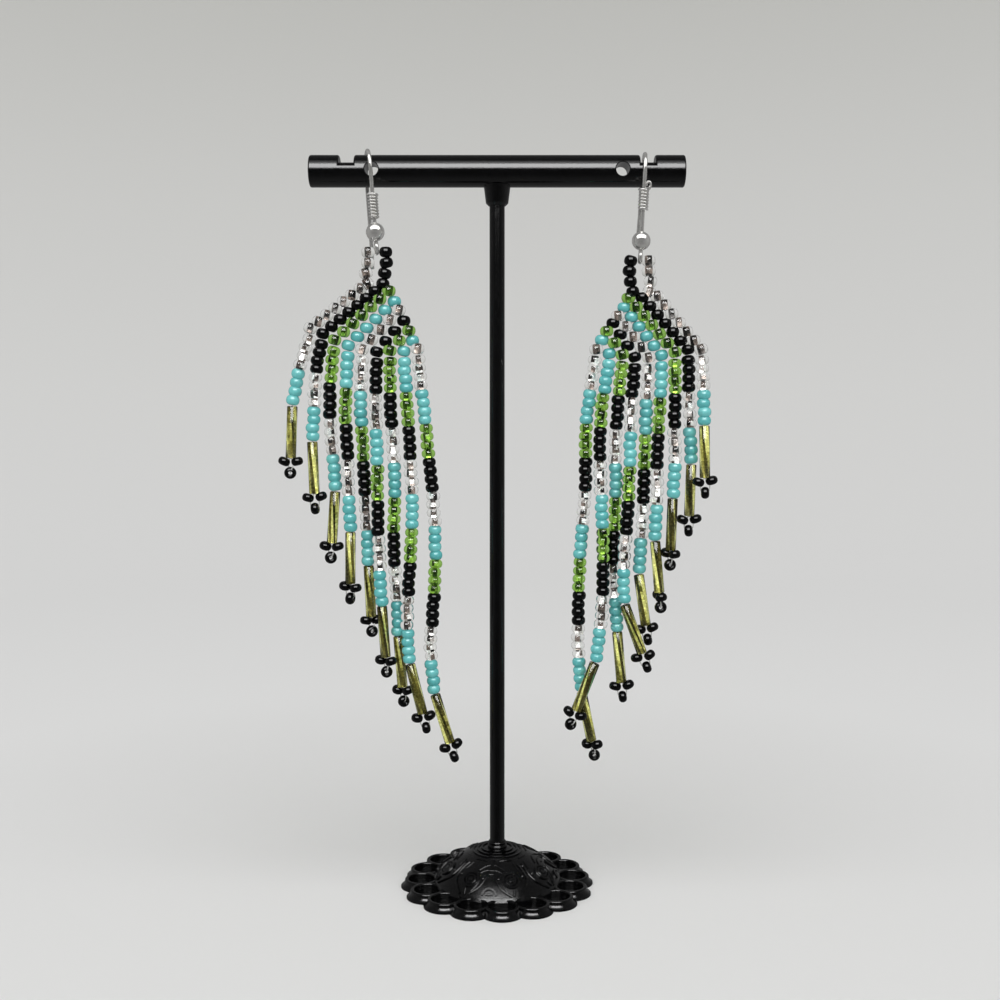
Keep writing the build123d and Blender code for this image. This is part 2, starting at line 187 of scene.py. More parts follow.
strands = {
    "left": [
        Strand((2.8, 6.8), (11.5, 13.6), [(12.8, 18.1), (13.8, 21.8), (14.8, 26.7)],
               (15.2, 36.1), 0.4, 5),
        Strand((0.3, 7.2), (9.4, 14.5), [(10.7, 20.5), (10.8, 26.7), (11.3, 32.9)],
               (11.0, 42.0), -0.5, 0),
        Strand((-2.1, 7.2), (7.3, 15.6), [(8.3, 22.1), (8.4, 28.9), (7.8, 35.5), (7.5, 41.6)],
               (8.2, 50.9), 0.5, 15),
        Strand((-3.0, 9.0), (5.0, 16.5), [(5.7, 25.2), (5.3, 33.1), (5.1, 40.9), (4.8, 48.7)],
               (4.9, 58.1), -0.5, 30),
        Strand((-3.8, 10.5), (2.6, 17.2),
               [(3.1, 25.3), (2.7, 32.6), (2.4, 39.9), (2.0, 47.3), (1.8, 54.7)],
               (1.4, 63.7), 0.5, -40),
        Strand((-4.6, 12.3), (0.1, 17.6),
               [(0.5, 25.7), (0.1, 32.9), (0.0, 40.1), (0.1, 47.3), (-0.2, 54.5),
                (-0.6, 61.7)],
               (-1.2, 70.8), -0.7, 35),
        Strand((-5.5, 14.0), (-2.2, 17.4),
               [(-2.1, 26.5), (-2.7, 34.6), (-2.9, 42.7), (-2.5, 50.9), (-3.1, 59.1),
                (-3.3, 67.2)],
               (-4.0, 76.1), 0.7, 35),
        Strand((-6.1, 15.7), (-4.6, 17.5),
               [(-5.1, 26.0), (-5.5, 33.7), (-6.0, 41.4), (-5.9, 49.1), (-5.4, 56.8),
                (-4.8, 64.4), (-5.4, 71.8)],
               (-7.6, 80.7), -0.7, 5),
        Strand((-7.0, 17.1), (-7.0, 17.1),
               [(-7.8, 25.4), (-8.5, 32.8), (-9.3, 40.2), (-9.9, 47.7), (-9.9, 55.2),
                (-9.5, 62.7), (-8.7, 70.1), (-9.7, 77.5)],
               (-12.3, 86.2), 0.7, 5),
    ],
    "right": [
        Strand((2.9, 6.6), (10.6, 15.7), [(11.1, 20.5), (11.0, 24.6), (11.2, 28.7)],
               (11.4, 38.0), -0.8, 0),
        Strand((0.4, 6.8), (8.4, 15.7), [(8.7, 22.8), (8.9, 29.0), (9.3, 35.4)],
               (9.0, 44.7), 1.0, 0),
        Strand((-2.0, 6.9), (6.1, 16.2), [(6.3, 23.0), (6.0, 29.1), (6.3, 35.2), (5.9, 41.3)],
               (5.6, 50.8), -0.5, 60),
        Strand((-2.7, 8.5), (3.8, 16.7), [(3.6, 25.3), (3.1, 33.2), (3.2, 41.0), (2.9, 48.7)],
               (3.7, 57.5), -0.4, 85),
        Strand((-3.8, 10.0), (1.6, 17.1),
               [(1.2, 25.3), (1.2, 32.7), (1.0, 40.1), (0.8, 47.5), (0.2, 54.6)],
               (1.5, 63.5), 0.9, 20),
        Strand((-4.6, 11.2), (-0.8, 17.0),
               [(-1.4, 24.7), (-1.6, 31.6), (-1.7, 38.6), (-2.1, 45.6), (-2.7, 52.6),
                (-2.5, 59.6)],
               (0.6, 68.2), -1.1, 10),
        Strand((-5.7, 12.6), (-3.0, 16.6),
               [(-3.6, 25.3), (-4.1, 33.2), (-3.8, 41.1), (-4.3, 49.1), (-4.2, 57.0),
                (-3.5, 64.9)],
               (-2.7, 73.8), 0.7, 5),
        Strand((-6.5, 14.1), (-5.2, 16.4),
               [(-6.5, 24.8), (-6.9, 32.3), (-6.6, 39.8), (-6.2, 47.3), (-6.1, 54.8),
                (-6.3, 62.4), (-7.4, 69.9)],
               (-10.6, 78.2), -1.1, 20),
        Strand((-7.5, 15.7), (-7.5, 15.7),
               [(-8.7, 23.8), (-9.3, 31.2), (-9.1, 38.6), (-9.7, 46.0), (-10.1, 53.4),
                (-10.3, 60.8), (-10.4, 68.3), (-9.7, 75.6)],
               (-7.9, 84.5), 1.2, 45),
    ],
}

# The bead loop in the eye, below the two beads that stand beside the eye
loops = {
    "left": dict(inner=[(-1.8, 2.2), (-1.4, 4.1), (-0.9, 6.9)],
                 outer=[(1.3, 2.4), (2.1, 4.0), (1.5, 6.9)]),
    "right": dict(inner=[(-1.9, 2.1), (-1.8, 3.9), (-1.0, 6.7)],
                  outer=[(1.3, 2.5), (2.0, 3.9), (1.4, 6.7)]),
}
row_counts = (7, 7, 7, 6, 5, 4, 3, 2, 1)
loop_count = 4

# How far the lowest of each string's three end beads is turned about the string
low_bead_turns = {
    "left": (80, 5, 75, 20, 70, 80, 65, 0, 5),
    "right": (5, 10, 75, 85, 10, 5, 5, 65, 85),
}

# The colours run down each string in fours, starting one step later on each string
colour_cycle = ("clear", "turquoise", "green", "black")
group_size = 4

# The part of a noise's values that a material stretches to its own range
noise_span = (0.3, 0.7)


# Materials
def new_material(name):
    material = bpy.data.materials.new(name)
    material.use_nodes = True
    return material, material.node_tree.nodes["Principled BSDF"]


def add_noise(material, scale, detail=3):
    """Noise over the object's own coordinates; gives back its output socket."""
    tree = material.node_tree
    place = tree.nodes.new("ShaderNodeTexCoord")
    noise = tree.nodes.new("ShaderNodeTexNoise")
    noise.inputs["Scale"].default_value = scale
    noise.inputs["Detail"].default_value = detail
    tree.links.new(place.outputs["Object"], noise.inputs["Vector"])
    return noise.outputs["Fac"]


def add_ramp(owner, source, stops):
    """Colour ramp from a socket of a material or world; stops are (position, colour)."""
    ramp = owner.node_tree.nodes.new("ShaderNodeValToRGB")
    owner.node_tree.links.new(source, ramp.inputs["Fac"])
    elements = ramp.color_ramp.elements
    while len(elements) < len(stops):
        elements.new(0.5)
    for element, (position, colour) in zip(elements, stops):
        element.position = position
        element.color = (*colour, 1)
    return ramp.outputs["Color"]


def greys(stops):
    """Stops of a ramp, from (position, level)."""
    return [(position, (level,) * 3) for position, level in stops]


def add_range(owner, source, low, high, span=noise_span):
    """A socket's span of values, stretched to low to high."""
    stretch = owner.node_tree.nodes.new("ShaderNodeMapRange")
    stretch.inputs["From Min"].default_value = span[0]
    stretch.inputs["From Max"].default_value = span[1]
    stretch.inputs["To Min"].default_value = low
    stretch.inputs["To Max"].default_value = high
    owner.node_tree.links.new(source, stretch.inputs["Value"])
    return stretch.outputs["Result"]


def add_product(owner, first, second):
    """Two colours multiplied; gives back the output socket."""
    both = owner.node_tree.nodes.new("ShaderNodeMix")
    both.data_type = "RGBA"
    both.blend_type = "MULTIPLY"
    both.inputs["Factor"].default_value = 1
    owner.node_tree.links.new(first, both.inputs["A"])
    owner.node_tree.links.new(second, both.inputs["B"])
    return both.outputs["Result"]


def add_bump(material, shader, height, strength, depth):
    bump = material.node_tree.nodes.new("ShaderNodeBump")
    bump.inputs["Strength"].default_value = strength
    bump.inputs["Distance"].default_value = depth
    material.node_tree.links.new(height, bump.inputs["Height"])
    material.node_tree.links.new(bump.outputs["Normal"], shader.inputs["Normal"])


def add_tone(material):
    """The tone that each bead or facet was given when it was made, from 0 to 1; on a lining's
    facets it is a painted reflection.
    """
    tone = material.node_tree.nodes.new("ShaderNodeAttribute")
    tone.attribute_name = "tone"
    return tone.outputs["Fac"]


def opaque_glass(name, dark, light, gloss, rough_low, rough_high):
    """Opaque glass whose colour differs a little from bead to bead."""
    material, shader = new_material(name)
    link = material.node_tree.links.new
    link(add_ramp(material, add_tone(material), [(0, dark), (1, light)]),
         shader.inputs["Base Color"])
    link(add_range(material, add_noise(material, 900), rough_low, rough_high),
         shader.inputs["Roughness"])
    shader.inputs["Specular IOR Level"].default_value = gloss
    add_bump(material, shader, add_noise(material, 1400), 0.12, 0.04 * MM)
    return material


def lined_glass(name, colour):
    """Transparent coloured glass, faintly uneven."""
    material, shader = new_material(name)
    shader.inputs["Base Color"].default_value = (*colour, 1)
    shader.inputs["Transmission Weight"].default_value = 1
    shader.inputs["IOR"].default_value = 1.5
    material.node_tree.links.new(add_range(material, add_noise(material, 1200), 0, 0.05),
                                 shader.inputs["Roughness"])
    add_bump(material, shader, add_noise(material, 1600), 0.1, 0.03 * MM)
    return material


def silver_lining(name, stops):
    """Silvered wall of a bead's hole: each facet shows a painted reflection, bright or dark by
    its tone.
    """
    material, shader = new_material(name)
    link = material.node_tree.links.new
    link(add_ramp(material, add_tone(material), stops), shader.inputs["Base Color"])
    shader.inputs["Metallic"].default_value = 0.4
    link(add_range(material, add_noise(material, 2500), 0.15, 0.35), shader.inputs["Roughness"])
    return material


def silver_wire():
    """Bright silver-plated wire with faint drawing marks and duller patches."""
    material, shader = new_material("silver_wire")
    link = material.node_tree.links.new
    link(add_ramp(material, add_noise(material, 700, 4),
                  [(0.35, (0.8, 0.79, 0.76)), (0.62, (0.95, 0.94, 0.92))]),
         shader.inputs["Base Color"])
    shader.inputs["Metallic"].default_value = 0.8
    link(add_range(material, add_noise(material, 1800), 0.05, 0.12), shader.inputs["Roughness"])
    add_bump(material, shader, add_noise(material, 3000), 0.05, 0.02 * MM)
    return material


def black_paint(name, grain, rough_low, rough_high):
    """Black paint over metal, with a fine grain."""
    material, shader = new_material(name)
    link = material.node_tree.links.new
    link(add_ramp(material, add_noise(material, 300, 5),
                  [(0.35, (0.0008, 0.0008, 0.001)), (0.7, (0.002, 0.002, 0.0024))]),
         shader.inputs["Base Color"])
    link(add_range(material, add_noise(material, 1500, 4), rough_low, rough_high),
         shader.inputs["Roughness"])
    shader.inputs["Specular IOR Level"].default_value = 0.5
    add_bump(material, shader, add_noise(material, 3500, 4), grain, 0.05 * MM)
    return material


def nylon():
    """Clear beading thread: pale, shiny and half transparent."""
    material, shader = new_material("nylon")
    link = material.node_tree.links.new
    link(add_ramp(material, add_noise(material, 900),
                  [(0.3, (0.62, 0.62, 0.6)), (0.7, (0.9, 0.9, 0.88))]),
         shader.inputs["Base Color"])
    shader.inputs["Roughness"].default_value = 0.15
    shader.inputs["Alpha"].default_value = 0.55
    return material


materials = {
    "turquoise": opaque_glass("turquoise", (0.11, 0.48, 0.49), (0.19, 0.62, 0.62),
                              0.6, 0.18, 0.26),
    "black": opaque_glass("black", (0.0008, 0.0008, 0.0009), (0.0018, 0.0018, 0.002),
                          0.32, 0.07, 0.13),
    "green": lined_glass("green", (0.34, 0.61, 0.13)),
    "clear": lined_glass("clear", (0.97, 0.97, 0.96)),
    "olive": lined_glass("olive", (0.8, 0.82, 0.4)),
    # The linings' ramps run from dark to bright painted reflections
    "green_lining": silver_lining("green_lining", [(0.1, (0.015, 0.03, 0.008)),
                                                   (0.55, (0.08, 0.12, 0.028)),
                                                   (1, (0.85, 0.9, 0.5))]),
    "clear_lining": silver_lining("clear_lining", [(0.15, (0.015, 0.013, 0.012)),
                                                   (0.55, (0.22, 0.175, 0.15)),
                                                   (0.75, (0.98, 0.97, 0.95))]),
    "olive_lining": silver_lining("olive_lining", [(0, (0.03, 0.025, 0.008)),
                                                   (0.55, (0.15, 0.13, 0.04)),
                                                   (0.8, (0.6, 0.57, 0.25)),
                                                   (1, (1.0, 0.98, 0.65))]),
    "silver": silver_wire(),
    "satin_black": black_paint("satin_black", 0.2, 0.08, 0.16),
    "cast_black": black_paint("cast_black", 0.3, 0.12, 0.24),
    "nylon": nylon(),
}


# Meshes made from arrays
Template = namedtuple("Template", "points quads lining")


def closed_rings(rings, lined_from):
    """Closed skin through rings of points; the rings from lined_from on bound the hole."""
    count = len(rings)
    segments = len(rings[0])
    points = np.concatenate(rings)
    quads = []
    lining = []
    for i in range(count):
        for j in range(segments):
            k = (j + 1) % segments
            n = (i + 1) % count
            quads.append((i * segments + j, i * segments + k, n * segments + k, n * segments + j))
            lining.append(lined_from <= i < count - 1)
    return Template(points, np.array(quads), np.array(lining))


def round_ring(radius, height, segments):
    turns = np.arange(segments) / segments * tau
    return np.stack([radius * np.cos(turns), radius * np.sin(turns),
                     np.full(segments, height)], 1)


def square_ring(side, height, segments, twist=0.0):
    """Ring of points round a square hole of that side, turned by twist."""
    turns = np.arange(segments) / segments * tau
    reach = side / 2 / np.maximum(np.abs(np.cos(turns)), np.abs(np.sin(turns)))
    return np.stack([reach * np.cos(turns + twist), reach * np.sin(turns + twist),
                     np.full(segments, height)], 1)


def bead_outline(radius, half_length, bore):
    """Radii and heights of a rounded bead's outside, from one mouth to the other."""
    turns = np.linspace(-pi / 2, pi / 2, bead_rings + 1)
    power = 2 / bead_squareness
    bulge = np.abs(np.cos(turns)) ** power
    bulge[0] = bulge[-1] = 0
    rise = np.sign(turns) * np.abs(np.sin(turns)) ** power
    return bore + (radius - bore) * bulge, half_length * rise


def opaque_bead():
    """Bead one millimetre long and as wide as a seed bead, with a round hole."""
    radii, heights = bead_outline(bead_diameter / 2, 0.5, bead_bore / 2)
    rings = [round_ring(r, h, bead_segments) for r, h in zip(radii, heights)]
    return closed_rings(rings, len(rings))


def lined_bead():
    """The same bead in clear glass, with a square silvered hole."""
    radii, heights = bead_outline(bead_diameter / 2, 0.5, lining_mouth)
    rings = [round_ring(r, h, lined_segments) for r, h in zip(radii, heights)]
    hole = [square_ring(lining_side, 0.5 - i / lining_bits, lined_segments)
            for i in range(lining_bits + 1)]
    return closed_rings(rings + hole, len(rings))


def bugle_bead():
    """Glass tube with a twisted square silvered hole, at its real size."""
    segments = bugle_segments
    radius = bugle_diameter / 2
    half = bugle_length / 2
    outside = [(radius - bugle_edge, -half), (radius, -half + bugle_edge),
               (radius, half - bugle_edge), (radius - bugle_edge, half)]
    rings = [round_ring(r, h, segments) for r, h in outside]
    hole = []
    for i in range(bugle_rings + 1):
        share = i / bugle_rings
        hole.append(square_ring(bugle_lining_side, half - share * bugle_length, segments,
                                radians(bugle_lining_twist) * share))
    return closed_rings(rings + hole, len(rings))


templates = {
    "opaque": opaque_bead(),
    "lined": lined_bead(),
    "bugle": bugle_bead(),
}


class Batch:
    """Copies of the templates, joined into one mesh."""

    def __init__(self):
        self.points, self.quads, self.lining, self.tones = [], [], [], []
        self.size = 0

    def add(self, kind, middle, axis, scale, tones=(0, 1)):
        """One copy, its hole along axis, spun at random about it."""
        template = templates[kind]
        turned = turn_to(axis, draw.uniform(0, tau))
        self.points.append((template.points * scale) @ turned.T + middle)
        self.quads.append(template.quads + self.size)
        self.lining.append(template.lining)
        self.size += len(template.points)
        low, high = tones
        tone = np.full(len(template.quads), draw.uniform(low, high))
        # The holes' linings get painted reflections in place of one tone per bead
        if kind == "lined":
            tone[template.lining] = painted_facet_glints(low, high)
        elif kind == "bugle":
            tone[template.lining] = painted_streak_glints()
        self.tones.append(tone)

    def piece(self, name, outer, lining=None):
        """The mesh object, in metres."""
        mesh = bpy.data.meshes.new(name)
        points = np.concatenate(self.points) * MM
        quads = np.concatenate(self.quads)
        lined = np.concatenate(self.lining)
        mesh.from_pydata(points, [], quads.tolist())
        mesh.materials.append(materials[outer])
        if lining:
            mesh.materials.append(materials[lining])
        mesh.polygons.foreach_set("material_index", lined.astype(np.int32))
        mesh.polygons.foreach_set("use_smooth", ~lined)
        tone = mesh.attributes.new("tone", "FLOAT", "FACE")
        tone.data.foreach_set("value", np.concatenate(self.tones).astype(np.float32))
        mesh.update()
        piece = bpy.data.objects.new(name, mesh)
        bpy.context.scene.collection.objects.link(piece)
        return piece


def painted_facet_glints(low, high):
    """A painted reflection's tone, bright or dark, for each of the hole's four facets on each bit
    of its length.
    """
    facets = draw.uniform(low, high, (lining_bits, 4))
    across = (np.arange(lined_segments) + 0.5) / lined_segments
    return facets[:, (across * 4 + 0.5).astype(int) % 4].ravel()


def painted_streak_glints():
    """Painted reflections in streaks down a tubular bead's silvered hole, darker toward both its
    ends.
    """
    streaks = draw.uniform(0, 1, bugle_streaks)
    steps = draw.normal(0, bugle_drift, (bugle_rings, bugle_streaks))
    share = (np.arange(bugle_rings) + 0.5) / bugle_rings
    shade = (bugle_end_shade[0] * np.clip(1 - share / bugle_end_share[0], 0, 1)
             + bugle_end_shade[1] * np.clip(1 - (1 - share) / bugle_end_share[1], 0, 1))
    tones = np.clip(streaks + np.cumsum(steps, axis=0) - shade[:, None], 0, 1)
    return np.repeat(tones, bugle_segments // bugle_streaks, axis=1).ravel()


def turn_to(axis, spin):
    """Rotation that takes z to axis, after a spin about z."""
    z = np.array(axis, float)
    z /= np.linalg.norm(z)
    side = np.array([0.0, 1.0, 0.0]) if abs(z[1]) < 0.9 else np.array([1.0, 0.0, 0.0])
    x = np.cross(side, z)
    x /= np.linalg.norm(x)
    y = np.cross(z, x)
    turned = np.stack([x, y, z], 1)
    c, s = cos(spin), sin(spin)
    return turned @ np.array([[c, -s, 0], [s, c, 0], [0, 0, 1]])


# Routes
def smooth_line(points):
    """Dense points along the smooth line that a string follows."""
    curve = bpy.data.curves.new("route", "CURVE")
    curve.dimensions = "3D"
    spline = curve.splines.new("NURBS")
    spline.points.add(len(points) - 1)
    for control, point in zip(spline.points, points):
        control.co = (*point, 1)
    spline.order_u = 3
    spline.use_endpoint_u = True
    spline.resolution_u = line_steps
    route = bpy.data.objects.new("route", curve)
    mesh = bpy.data.meshes.new_from_object(route)
    line = np.array([v.co for v in mesh.vertices])
    bpy.data.objects.remove(route)
    bpy.data.curves.remove(curve)
    bpy.data.meshes.remove(mesh)
    return line


def spaced(line, count):
    """Middles and directions of count beads that fill a line, and their pitch."""
    steps = np.linalg.norm(np.diff(line, axis=0), axis=1)
    reached = np.concatenate([[0], np.cumsum(steps)])
    pitch = reached[-1] / count

    def at(distance):
        return np.stack([np.interp(distance, reached, line[:, i]) for i in range(3)], 1)

    middles = (np.arange(count) + 0.5) * pitch
    ways = at(middles + pitch / 4) - at(middles - pitch / 4)
    return at(middles), ways, pitch


def tilted(axis, degrees):
    """The axis, tilted at random by up to that much."""
    axis = np.array(axis, float)
    axis /= np.linalg.norm(axis)
    lean = axis + np.tan(radians(degrees)) * draw.uniform(-1, 1, 3)
    return lean / np.linalg.norm(lean)


def turned_about(axis, degrees, way):
    """A direction, turned about an axis."""
    return np.array(Matrix.Rotation(radians(degrees), 3, Vector(axis)) @ Vector(way))


def bead_scale(length, diameter=bead_diameter):
    """Scale of a unit-long bead, with the small differences of real ones."""
    width = diameter / bead_diameter * (1 + bead_size_spread * draw.uniform(-1, 1))
    stretch = 1 + bead_size_spread * draw.uniform(*bead_length_share)
    return np.array([width, width, length * stretch])


def curve_piece(name, lines, radius, material, closed=False, sides=4):
    """Round wires along lines of points, as one piece."""
    curve = bpy.data.curves.new(name, "CURVE")
    curve.dimensions = "3D"
    curve.bevel_depth = radius
    curve.bevel_resolution = sides
    curve.use_fill_caps = True
    for line in lines:
        spline = curve.splines.new("POLY")
        spline.points.add(len(line) - 1)
        for control, point in zip(spline.points, line):
            control.co = (*point, 1)
        spline.use_cyclic_u = closed
        spline.use_smooth = True
    wire = bpy.data.objects.new(name, curve)
    mesh = bpy.data.meshes.new_from_object(wire)
    mesh.name = name
    bpy.data.objects.remove(wire)
    bpy.data.curves.remove(curve)
    mesh.materials.clear()
    mesh.materials.append(materials[material])
    piece = bpy.data.objects.new(name, mesh)
    bpy.context.scene.collection.objects.link(piece)
    return piece


# Earrings
def hook_axes(hook):
    """Directions toward the back, up the leg, and across, of a hook's plane."""
    turn = radians(hook.turn)
    lean = radians(hook.lean)
    back = Vector((-sin(turn), cos(turn), 0))
    up = Vector((-sin(lean), 0, cos(lean)))
    up = (up - up.dot(back) * back).normalized()
    return back, up, back.cross(up)


def middle_of(node):
    """Middle of a node's box, in metres."""
    low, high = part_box(node)
    return (low + high) / 2


def colour_of(number, place):
    """Colour of a bead; place counts groups of four down the string, the row's is 0."""
    start = -(number - 1) % len(colour_cycle)
    return colour_cycle[(start + place) % len(colour_cycle)]


def kind_of(colour):
    return "lined" if colour in ("clear", "green") else "opaque"


def add_colour(batches, colour, middle, axis, scale, tones=(0, 1)):
    batches.setdefault(colour, Batch()).add(kind_of(colour), middle, axis, scale, tones)


def finish_batches(batches, name, node):
    """Pieces of a string or top, one a colour, in place of its solid."""
    for colour, batch in batches.items():
        lining = f"{colour}_lining" if kind_of(colour) == "lined" else None
        piece = batch.piece(f"{name}_{colour}", colour, lining)
        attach(piece, "root")
        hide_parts(node)


def build_top(side, place):
    """Woven top: a slanting row of beads for each string, and the loop in the eye."""
    batches = {}
    down = place((0, 1)) - place((0, 0))
    for number, strand in enumerate(strands[side], start=1):
        first = place(strand.top)
        last = place(strand.edge)
        slant = (last - first) / max(1e-6, np.linalg.norm(last - first))
        depth = np.array([0, row_depth * (-1) ** number, 0])
        colour = colour_of(number, 0)
        count = row_counts[number - 1]
        for i in range(count):
            share = i / max(1, count - 1)
            middle = first + (last - first) * share + depth
            axis = tilted(down + slant * (row_lean[0] + row_lean[1] * share), bead_tilt)
            add_colour(batches, colour, middle, axis, bead_scale(row_bead_length), row_painted_dark_tones)
    beside_eye = wire_diameter / 2 + bead_gap + cad_bead_diameter / 2
    drop = (eye_inner_diameter - cad_thread_diameter) / 2 - bead_gap / 2
    for name, way, colour in (("inner", -1, "black"), ("outer", 1, "clear")):
        start = (way * beside_eye, drop - cad_bead_diameter / 4)
        line = smooth_line([place(p) for p in [start] + loops[side][name]])
        middles, ways, _ = spaced(line, loop_count)
        for middle, direction in zip(middles, ways):
            add_colour(batches, colour, middle, tilted(direction, loop_tilt),
                       bead_scale(row_bead_length), loop_painted_dark_tones)
    finish_batches(batches, f"{side}_top", f"{side}_beaded_top")


def build_string(side, place, number, strand):
    """One hanging string: its seed, tubular and end beads; gives back its thread's points."""
    start = (strand.edge[0], strand.edge[1] + panel_rib_diameter / 2 + bead_gap)
    stops = [start] + strand.route
    count = len(stops) - 1
    points = [
        place(stop, strand.behind * min(1, 2 * i / count)) for i, stop in enumerate(stops)
    ]
    batches = {}
    line = smooth_line(points)
    bead_count = group_size * (number + 1)
    middles, ways, pitch = spaced(line, bead_count)
    for i, (middle, way) in enumerate(zip(middles, ways)):
        shift = bead_shift * draw.uniform(-1, 1, 3) * (1, 1, 0)
        colour = colour_of(number, i // group_size)
        add_colour(batches, colour, middle + shift, tilted(way, bead_tilt),
                   bead_scale(pitch * bead_fill[kind_of(colour)]))

    end = points[-1]
    foot = place(strand.foot, strand.behind)
    along = (foot - end) / np.linalg.norm(foot - end)
    before = (end - points[-2]) / np.linalg.norm(end - points[-2])
    bend = acos(min(1, float(along @ before)))
    bugle_top = end + along * (bead_gap + cad_bead_diameter / 2 * sin(bend))
    bugle_foot = bugle_top + along * bugle_length
    bugle = Batch()
    bugle.add("bugle", (bugle_top + bugle_foot) / 2, along, np.ones(3))
    piece = bugle.piece(f"{side}_tube_bead_{number}", "olive", "olive_lining")
    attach(piece, "root")
    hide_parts(f"{side}_bugle_{number}")

    across = np.cross((0, 1, 0), along)
    across = turned_about(along, strand.turn, across / np.linalg.norm(across))
    facing = np.cross(across, along)
    rock = radians(picot_spin_spread) * draw.uniform(-1, 1)
    corners = [bugle_foot]
    for way in (-1, 0, 1):
        if way:
            middle = across * way * picot_side + along * (picot_side_drop + way * rock)
            axis = turned_about(facing, -way * picot_lean, along) * way
        else:
            middle = along * picot_low_drop
            axis = turned_about(along, low_bead_turns[side][number - 1] - strand.turn, across)
        middle = bugle_foot + middle
        axis = tilted(axis, bead_tilt)
        add_colour(batches, "black", middle, axis,
                   bead_scale(picot_bead_length, picot_bead_diameter))
        corners += [middle + axis * picot_bead_length * share for share in (-0.5, 0, 0.5)]
    corners.append(bugle_foot)
    finish_batches(batches, f"{side}_string_{number}", f"{side}_string_{number}")
    return line, bugle_top, bugle_foot, corners


def build_earring(side, outward):
    """One earring; outward, -1 or 1, is the way along x that its rows slant down."""
    hook = hooks[side]
    back, up, across = hook_axes(hook)
    eye = middle_of(f"{side}_hook_ball") / MM - up * ball_to_eye

    def place(point, behind=0.0):
        return np.array([eye.x + outward * point[0], eye.y + behind, eye.z - point[1]])

    build_top(side, place)
    threads = []
    for number, strand in enumerate(strands[side], start=1):
        line, bugle_top, bugle_foot, corners = build_string(side, place, number, strand)
        down = [*line[::string_thread_step], bugle_top, bugle_foot]
        threads.append([p * MM for p in down])
        threads.append([p * MM for p in smooth_line(corners)[::end_thread_step]])
    thread = curve_piece(f"{side}_thread", threads, thread_diameter / 2 * MM, "nylon", sides=2)
    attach(thread, "root")
    build_coil(side, hook, up, back, across)


def build_coil(side, hook, up, back, across):
    """Fine wire wound round the hook's leg, its upper end flared or curled into a ring."""
    low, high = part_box(f"{side}_hook_coil")
    middle = middle_of(f"{side}_hook_coil") / MM
    span = (high.z - low.z) / MM - coil_wire_diameter
    radius = wire_diameter / 2 + coil_clearance + coil_wire_diameter / 2
    steps = round(hook.coil_turns * coil_steps)
    points = []
    for i in range(steps + 1):
        share = i / steps
        angle = radians(hook.coil_start) - tau * hook.coil_turns * share
        out = across * cos(angle) - back * sin(angle)
        flare = 1 + coil_flare * max(0, 1 - share * hook.coil_turns)
        points.append((middle + up * span * (0.5 - share) + out * radius * flare) * MM)
    if hook.curl:
        ring = middle + up * (span / 2 + curl_height / 2) + across * radius - back * curl_width
        for i in range(coil_steps):
            angle = radians(curl_end) * (i + 1) / coil_steps - pi / 2
            turn = across * cos(angle) * curl_width / 2 + up * sin(angle) * curl_height / 2
            points.insert(0, (ring + turn) * MM)
    coil = curve_piece(f"{side}_coil", [points], coil_wire_diameter / 2 * MM, "silver", sides=5)
    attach(coil, "root")
    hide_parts(f"{side}_hook_coil")


def raised(points, radius):
    """Points moved along the dome's radii, so that a wire of that radius is partly sunk."""
    middle = np.array([0, 0, dome_top - dome_curve])
    out = np.array(points) - middle
    reach = dome_curve + radius * wire_rise
    return (middle + out / np.linalg.norm(out, axis=1, keepdims=True) * reach) * MM


def on_dome(place, turn, way=1):
    """Point of the dome's skin; way is -1 for the motif's mirrored half."""
    distance, degrees = place
    angle = radians(turn + way * degrees)
    return Vector((distance * sin(angle), -distance * cos(angle),
                   dome_top - dome_curve + (dome_curve**2 - distance**2) ** 0.5))


def ring_on_dome(place, turn, way, radius):
    """Points of a ring that lies flat on the dome's skin."""
    centre = on_dome(place, turn, way)
    normal = centre - Vector((0, 0, dome_top - dome_curve))
    side = normal.cross((0, 0, 1)).normalized()
    up = side.cross(normal).normalized()
    turns = np.arange(ring_steps) / ring_steps * tau
    return [centre + side * radius * cos(t) + up * radius * sin(t) for t in turns]


def build_ornament():
    """The rings, dots and lines on the dome, and the rings round the post's foot."""
    closed = []
    bold = []
    fine = []
    for k in range(motif_count):
        turn = motif_turn + 360 / motif_count * k
        for way in (-1, 1):
            for radius in boss_rings:
                closed.append(raised(ring_on_dome(boss, turn, way, radius), bold_radius))
            for dot in dots:
                closed.append(raised(ring_on_dome(dot, turn, way, dot_ring), bold_radius))
            for lines, width, found in ((bold_lines, bold_radius, bold),
                                        (fine_lines, fine_radius, fine)):
                for line in lines:
                    route = smooth_line([on_dome(place, turn, way) for place in line])
                    found.append(raised(route, width))
    for radius, height in neck_rings:
        turns = np.arange(ring_steps) / ring_steps * tau
        closed.append([Vector((radius * cos(t), radius * sin(t), height)) * MM for t in turns])
    for name, lines, width, ring in (("rings", closed, bold_radius, True),
                                     ("bold", bold, bold_radius, False),
                                     ("fine", fine, fine_radius, False)):
        piece = curve_piece(f"ornament_{name}", lines, width * MM, "cast_black", ring, sides=3)
        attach(piece, "root")


for side, outward in (("left", -1), ("right", 1)):
    build_earring(side, outward)
build_ornament()

# Metal pieces that keep their CAD shape
for name, node in frame["nodes"].items():
    if name.startswith("stand_"):
        finish = "cast_black" if name == "stand_base" else "satin_black"
    elif name.endswith(("ear_hook", "hook_ball")):
        finish = "silver"
    else:
        continue
    node.data.materials.clear()
    node.data.materials.append(materials[finish])

# Studio: a round pale bowl of paper, which glows by height, as painted light that also lights the
# stand
lamps_aim = (0, 0, 0.09)
bowl_radius = 0.42
bowl_curve = 0.25
bowl_height = 0.95
bowl_floor_rings = 12
bowl_curve_rings = 16
bowl_segments = 96
